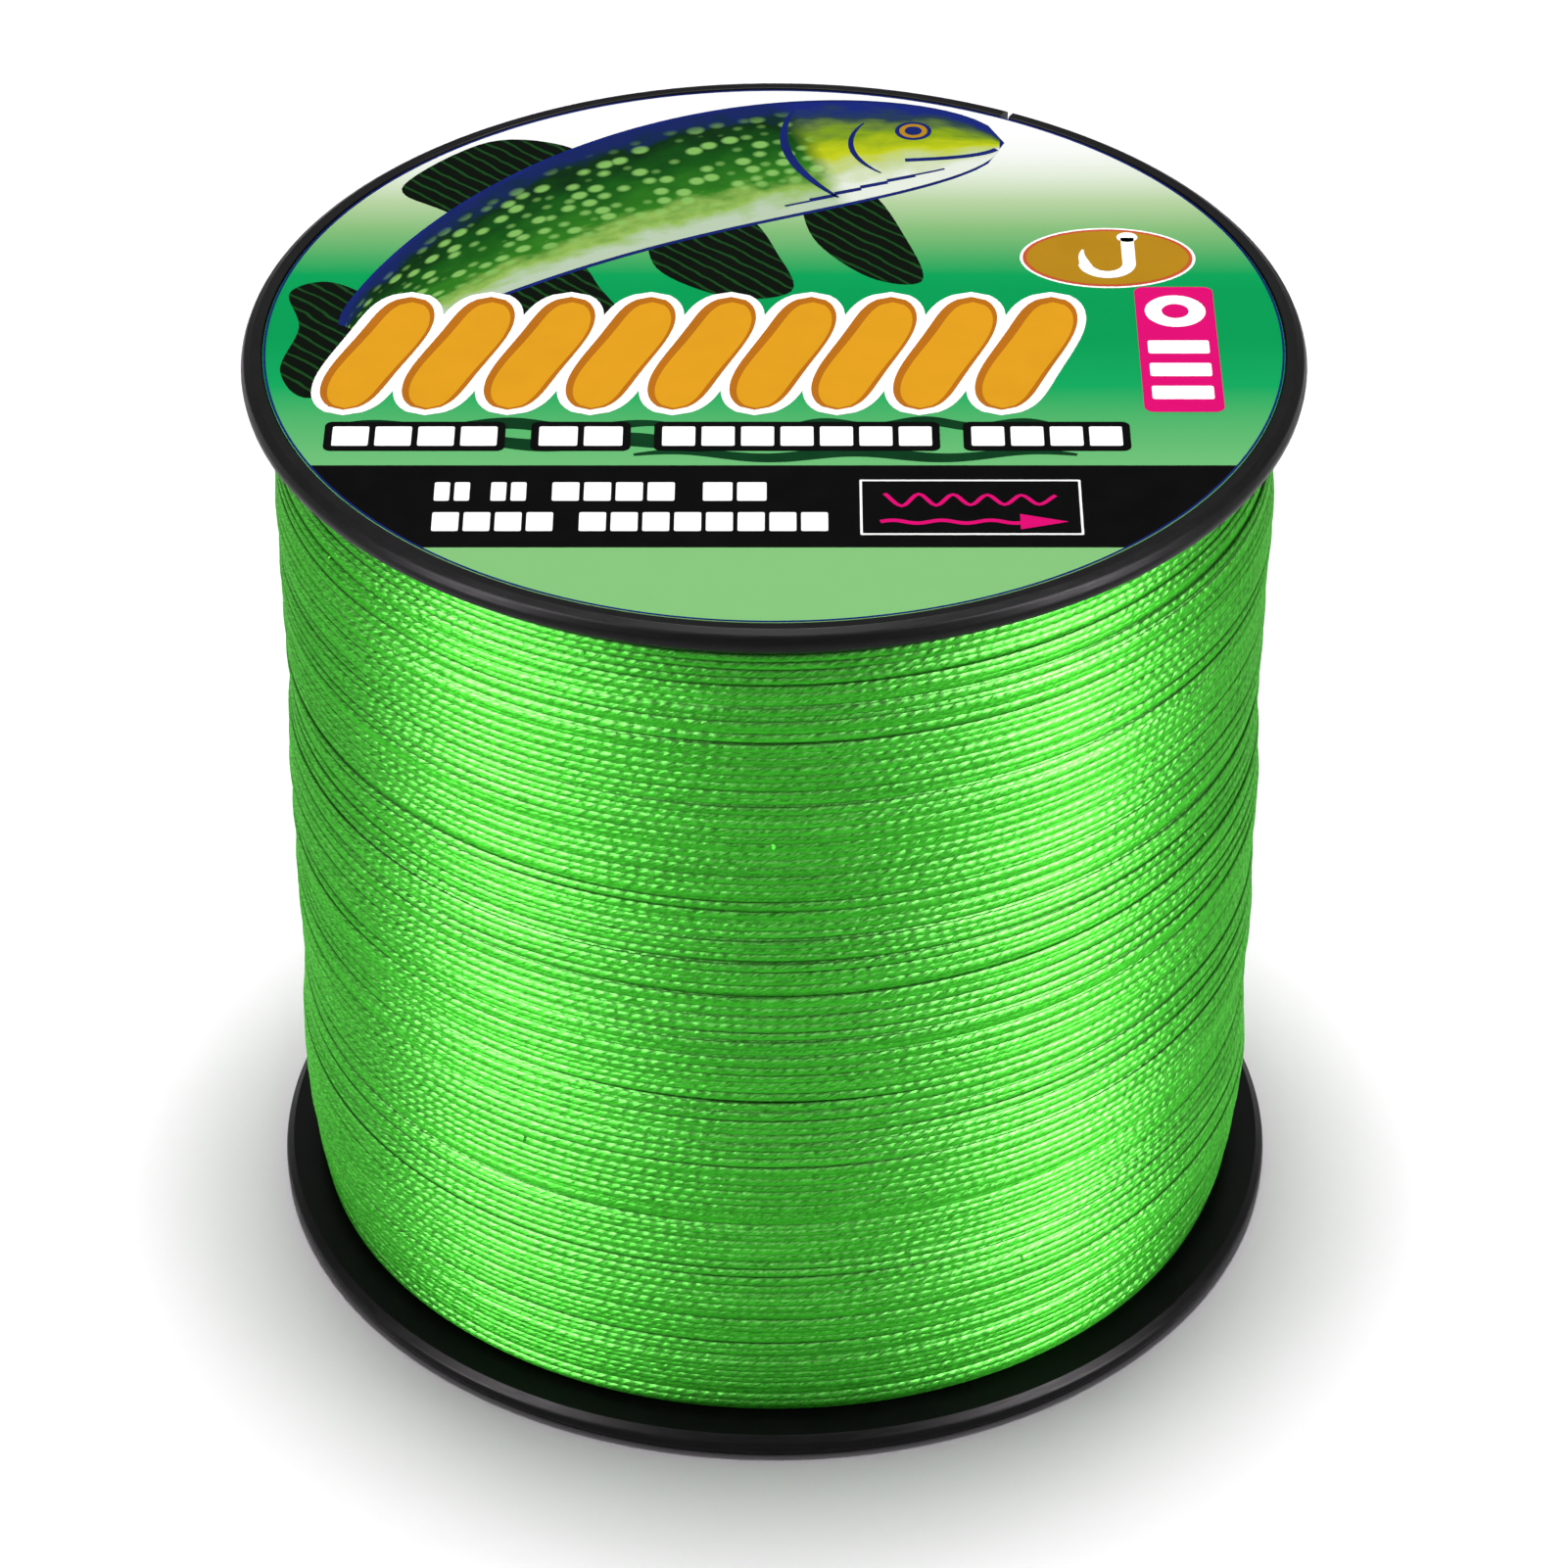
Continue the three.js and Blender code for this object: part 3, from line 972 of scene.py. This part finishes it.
def printed(name, shapes, material, base=PRINT_BASE, side=1):
    """Flat shapes in one ink. Each is an outline, counter-clockwise, and the number of its layer; a layer
    lies a little above the one before, or below it on the underside of the spool."""
    parts = []
    for outline, layer in shapes:
        ends = sorted((base - side * INK_SINK, base + side * INK_STEP * layer))
        parts.append(prism([tuple(p) for p in outline], *ends))
    made = mesh_object(name, *joined(parts), material)
    placed(made, "upper_label" if side > 0 else "lower_label")


def printed_ring(name, label, inner, outer, low, high, material):
    """A ring in one ink, concentric with a label."""
    outline = [(inner, low), (outer, low), (outer, high), (inner, high)]
    placed(mesh_object(name, *turned(outline), material), label)


def row_of_boxes(left, right, count, front, back, gap):
    """Small upright boxes in a row, which stand for a word."""
    pitch = (right - left + gap) / count
    starts = [left + pitch * k for k in range(count)]
    return [rounded_box(start, front, start + pitch - gap, back, 0.18, 3) for start in starts]


def band_outline(front, back, radius, steps=16):
    """The part of a disc between two heights across it."""
    low, high = math.asin(front / radius), math.asin(back / radius)
    right = arc(0, 0, radius, low, high, steps)
    return np.array(right + arc(0, 0, radius, math.pi - high, math.pi - low, steps))


# the fish's spine as a quadratic curve from its snout to the root of its tail
SNOUT = np.array([21.0, 34.5])
SPINE_PULL = np.array([-14.0, 36.0])
TAIL_ROOT = np.array([-36.5, 1.0])
FISH_HALF_HEIGHT = 9.4


def fish_side(share, level, spare=0.0):
    """A place on the fish: share runs from snout to tail, level from belly (-1) to back (1)."""
    share = np.asarray(share, float)[..., None]
    keep = 1 - share
    spine = keep ** 2 * SNOUT + 2 * keep * share * SPINE_PULL + share ** 2 * TAIL_ROOT
    ahead = unit(keep * (SPINE_PULL - SNOUT) + share * (TAIL_ROOT - SPINE_PULL))
    up = np.stack([ahead[..., 1], -ahead[..., 0]], -1)
    half = FISH_HALF_HEIGHT * np.sin(math.pi * np.clip(share, 0, 1) ** 0.66) ** 0.72 + 2.0 * share + spare
    return spine + up * half * np.asarray(level)[..., None]


def fish_outline(spare):
    """The fish's outline with a margin round it."""
    share = np.linspace(0, 1, 60)
    belly = fish_side(share, -1 + 0 * share, spare)
    back = fish_side(share[::-1], 1 + 0 * share, spare)
    snout = SNOUT + (0.7 * spare, 0.7 * spare)
    return np.vstack([snout, belly[1:], back[:-1]])[::-1]


def print_fish_body():
    """The fish's side as a thin sheet with its own map."""
    lengths, heights = 90, 24
    shares = np.linspace(0.002, 1, lengths + 1)
    levels = np.linspace(-1, 1, heights + 1)
    ends = (PRINT_BASE - INK_SINK, PRINT_BASE + 3 * INK_STEP)
    grid = fish_side(shares[:, None] + 0 * levels, levels + 0 * shares[:, None]).reshape(-1, 2)
    points = [(x, y, z) for z in ends for x, y in grid]
    faces = [face[::-1] for face in sheet_faces(lengths, heights)]
    made = mesh_object("print_fish", points, faces, FISH_INK)
    layer = made.data.uv_layers.new(name="fish")
    for loop in made.data.loops:
        i, j = divmod(loop.vertex_index % len(grid), heights + 1)
        layer.data[loop.index].uv = (shares[i], j / heights)
    placed(made, "upper_label")


def closed_curve(points, steps=8):
    """A smooth closed outline through points, given counter-clockwise."""
    around = [points[-1]] + list(points) + [points[0], points[1]]
    return smooth_route(around, steps)[steps:-steps - 1]


def print_fish():
    """A plain side view of a swimming fish, mouth closed."""
    print_fish_body()
    fins = [
        [(-17.5, 29), (-19, 34), (-26.5, 35), (-34, 27), (-31, 23), (-25, 20.5)],
        [(-35, 5), (-39.5, 9.6), (-43.2, 7.8), (-42, 1.8), (-43.2, -5.5), (-40.3, -10), (-34.5, -4)],
        [(3, 26), (3.5, 17.5), (8.5, 10.5), (13.2, 9.8), (12, 17), (8.5, 26)],
        [(-10.5, 19.5), (-10.5, 12), (-4, 7), (1.5, 8), (0.5, 14), (-3, 21.5)],
        [(-24, 10), (-22.5, 2), (-16.5, -1), (-13, 2), (-15.5, 8.5), (-18, 13)],
    ]
    printed("print_fins", [(closed_curve(fin), 1) for fin in fins], FIN_INK)
    marks = [(fish_outline(0.45), 2)]
    level = np.linspace(-0.92, 0.9, 24)
    taper = np.sin(math.pi * np.linspace(0.06, 0.94, 24)) ** 0.7
    for share, bow, reach, width in ((0.25, 0.045, 0.95, 0.42), (0.17, 0.035, 0.6, 0.26)):
        gill = fish_side(share + bow * (1 - level ** 2), level * reach)
        marks.append((brush_stroke(gill, width * taper), 4))
    jaw = np.linspace(0.006, 0.135, 16)
    mouth = fish_side(jaw, -0.42 + 1.2 * (jaw - 0.07))
    marks.append((brush_stroke(mouth, 0.3), 4))
    for k in range(5):
        belly = np.linspace(0.08 + 0.045 * k, 0.17 + 0.045 * k, 12)
        marks.append((brush_stroke(fish_side(belly, -0.72 - 0.03 * k + 0 * belly), 0.14), 4))
    eye = fish_side(np.array(0.115), np.array(0.36))
    marks.append((oval(*eye, 1.7, 1.7), 4))
    marks.append((oval(*eye, 0.8, 0.8), 6))
    printed("print_fish_lines", marks, NAVY_INK)
    printed("print_fish_eye", [(oval(*eye, 1.3, 1.3), 5)], GOLD_INK)


def print_pond():
    """Ripples of dark water behind the lower part of the picture."""
    taper = np.sin(math.pi * np.linspace(0.03, 0.97, 60)) ** 0.6
    ripples = []
    for left, right, height, half in (
        (-38, -8, -14.6, 0.9),
        (-30, 4, -17.2, 1.1),
        (-12, 26, -19.2, 0.8),
        (2, 24, -14.2, 0.7),
    ):
        ripples.append((brush_stroke(wavy_route(left, right, height, 0.5, 2.5), half * taper), 1))
    printed("print_pond", ripples, POND_INK)


ROPE_LEFT, ROPE_RIGHT = -34.8, 22.2
ROPE_FRONT, ROPE_BACK = -12.0, 7.0
ROPE_STRANDS = 9


def rope_strand(index, spare, shift=(0.0, 0.0)):
    """One turn of the twisted rope that fills the middle of the label."""
    share = np.linspace(0, 1, 40)
    middle = ROPE_LEFT + (ROPE_RIGHT - ROPE_LEFT) * index / (ROPE_STRANDS - 1)
    x = middle + 2.5 * np.sin((share - 0.5) * math.pi)
    y = ROPE_FRONT - spare + (ROPE_BACK - ROPE_FRONT + 2 * spare) * share
    half = (2.85 + spare) * (1 - np.abs(2 * share - 1) ** 4) ** 0.5 + 0.04
    return brush_stroke(np.stack([x + shift[0], y + shift[1]], -1), half)


def print_rope():
    """The rope's strands in orange, each with a darker edge, on a white outline."""
    strands = range(ROPE_STRANDS)
    halo = [(rope_strand(k, 0.85), 3.3 + 0.2 * (k % 2)) for k in strands]
    faces = [(rope_strand(k, -0.6, (0.12, -0.34)), 5) for k in strands]
    printed("print_rope_outline", halo, WHITE_INK)
    printed("print_rope_edge", [(rope_strand(k, 0), 4) for k in strands], ORANGE_EDGE_INK)
    printed("print_rope", faces, ORANGE_INK)


def print_badges():
    """The gold oval with a fish hook, and the magenta tab with a ring and bars."""
    hook = [(31.9, 17.4), (31.9, 15.6), (31.9, 13.6)]
    hook += [(29.9 + 2 * math.cos(a), 12.9 + 2 * math.sin(a)) for a in np.radians(np.arange(0, -181, -15))]
    hook += [(27.7, 14.2), (27.8, 15.3)]
    hook_route = smooth_route(hook, 4)
    taper = np.clip(np.linspace(6, 0.15, len(hook_route)), 0, 1) * 0.6
    gold = [(oval(30, 13.9, 7.3, 4.7), 3)]
    white = [
        (oval(30, 13.9, 7.9, 5.3), 1),
        (brush_stroke(hook_route, taper), 4),
        (oval(31.9, 17.5, 0.95, 0.85), 4),
        *((rounded_box(32.9, front, 38.3, front + 2.2, 0.25), 2) for front in (-2.6, -6.4, -10.2)),
        (oval(35.6, 4.6, 2.7, 2.7), 2),
    ]
    magenta = [(rounded_box(32.1, -12.3, 39.1, 8.8, 0.9), 1), (oval(35.6, 4.6, 1.2, 1.2), 3)]
    printed("print_badge_gold", gold, GOLD_INK)
    printed("print_badge_rim", [(oval(30, 13.9, 7.65, 5.05), 2)], RED_INK)
    printed("print_badge_white", white, WHITE_INK)
    printed("print_badge_magenta", magenta, MAGENTA_INK)


def print_bands():
    """The black band with its boxes and framed arrow, and the row of outlined boxes above it."""
    front, back = -33.7, -20.9
    black = [(band_outline(front, back, LABEL_RADIUS - 0.12), 1)]
    white, magenta = [], []
    for left, right, count in ((-38, -23.8, 4), (-20.2, -13, 2), (-9.6, 13.6, 7), (17, 30, 4)):
        black.append((rounded_box(left - 0.7, -18.6, right + 0.7, -13.9, 0.7), 2))
        white += [(box, 3) for box in row_of_boxes(left, right, count, -17.8, -14.7, 0.55)]
    for left, right, count in ((-28.8, -25.8, 2), (-24.0, -21.0, 2), (-18.8, -8.4, 4), (-6.0, -0.6, 2)):
        white += [(box, 2) for box in row_of_boxes(left, right, count, -26.5, -23.6, 0.4)]
    for left, right, count in ((-28.8, -18.6, 4), (-16.4, 4.6, 8)):
        white += [(box, 2) for box in row_of_boxes(left, right, count, -31.2, -28.3, 0.4)]
    white.append((rounded_box(7.3, -31.8, 26.1, -23.2, 0.15), 2))
    black.append((rounded_box(7.5, -31.55, 25.9, -23.45, 0.1), 3))
    zigzag = []
    for k in range(11):
        drop = 2.2 if k % 2 else 0.2
        zigzag.append((9.4 + 1.45 * k, -25.2 - drop + 0.3 * math.sin(3 * k)))
    magenta.append((brush_stroke(smooth_route(zigzag, 5), 0.2), 4))
    magenta.append((brush_stroke(wavy_route(9, 21.4, -29.8, 0.22, 3), 0.26), 4))
    magenta.append(([(20.8, -31.0), (24.9, -29.8), (20.8, -28.6)], 4.2))
    printed("print_band_black", black, BLACK_INK)
    printed("print_band_white", white, WHITE_INK)
    printed("print_band_magenta", magenta, MAGENTA_INK)


def print_label_edge():
    """The thin dark line round the label's edge."""
    ends = (PRINT_BASE - INK_SINK, PRINT_BASE + 2.5 * INK_STEP)
    printed_ring("print_edge", "upper_label", LABEL_RADIUS - 0.26, LABEL_RADIUS - 0.06, *ends, NAVY_INK)


def print_lower_label():
    """A dark ring with light ticks on the underside's label, every fourth one longer."""
    outer, inner = LOWER_LABEL_RADIUS - 1.2, LOWER_LABEL_RADIUS - 6.2
    ends = (LOWER_PRINT_BASE - INK_STEP, LOWER_PRINT_BASE + INK_SINK)
    printed_ring("print_lower_ring", "lower_label", inner, outer, *ends, BLACK_INK)
    count, half = 48, 0.3
    ticks = []
    for k in range(count):
        near, far = outer - (3.6 if k % 4 == 0 else 2.2), outer - 0.9
        tick = [(near, -half), (far, -half), (far, half), (near, half)]
        ticks.append((swung(tick, FULL_TURN * k / count), 2))
    printed("print_lower_ticks", ticks, WHITE_INK, LOWER_PRINT_BASE, -1)


# -------- the spool, piece by piece
make_flanges()
make_barrel()
make_package()
make_under_line()
make_outer_line()
make_tail()
make_tape()
make_upper_label()
make_lower_label()
print_label_edge()
print_pond()
print_fish()
print_rope()
print_badges()
print_bands()
print_lower_label()


# -------- studio
def make_floor():
    """A wide sheet of white paper under the spool."""
    half = 4000
    material, tree, shader = new_material("floor_paper")
    cloud = noise(object_place(tree), 30, 3)
    fill(shader, {
        "Base Color": mixed(cloud, (0.9, 0.865, 0.9, 1), (0.93, 0.895, 0.93, 1)),
        "Roughness": 0.9,
        "Specular IOR Level": 0.1,
    })
    corners = [(-half, -half, 0), (half, -half, 0), (half, half, 0), (-half, half, 0)]
    floor = mesh_object("floor", corners, [(0, 1, 2, 3)], material)


# the side boxes, which only show as reflections, are a touch pink, so that those on the line are paler
REFLECTION_TINT = (1, 0.94, 0.98)
SPOOL_MIDDLE = Vector((0, 0, 0.045))
WORLD_STRENGTH = 0.18


def area_light(name, place, width, height, power, glossy_only=False):
    """A box light, in metres and watts, that faces the spool's middle."""
    data = bpy.data.lights.new(name, "AREA")
    data.shape = "RECTANGLE"
    data.size = width
    data.size_y = height
    data.energy = power
    if glossy_only:
        data.color = REFLECTION_TINT
        data.cycles.max_bounces = 0
    made = new_object(name, data)
    made.visible_diffuse = not glossy_only
    made.location = place
    made.rotation_euler = (SPOOL_MIDDLE - Vector(place)).to_track_quat("-Z", "Y").to_euler()


def make_lights():
    area_light("overhead", (0, 0.075, 1.2), 0.4, 0.4, 16.5)
    area_light("left_box", (-0.76, -0.42, 0.5), 0.34, 1.0, 21.5, glossy_only=True)
    area_light("right_box", (0.78, -0.38, 0.5), 0.34, 1.0, 26, glossy_only=True)
    world = bpy.data.worlds.new("studio")
    world.use_nodes = True
    background = world.node_tree.nodes["Background"]
    fill(background, {"Color": (1, 1, 1, 1), "Strength": WORLD_STRENGTH})
    bpy.context.scene.world = world
    bpy.context.scene.view_settings.view_transform = "Standard"


make_floor()
make_lights()
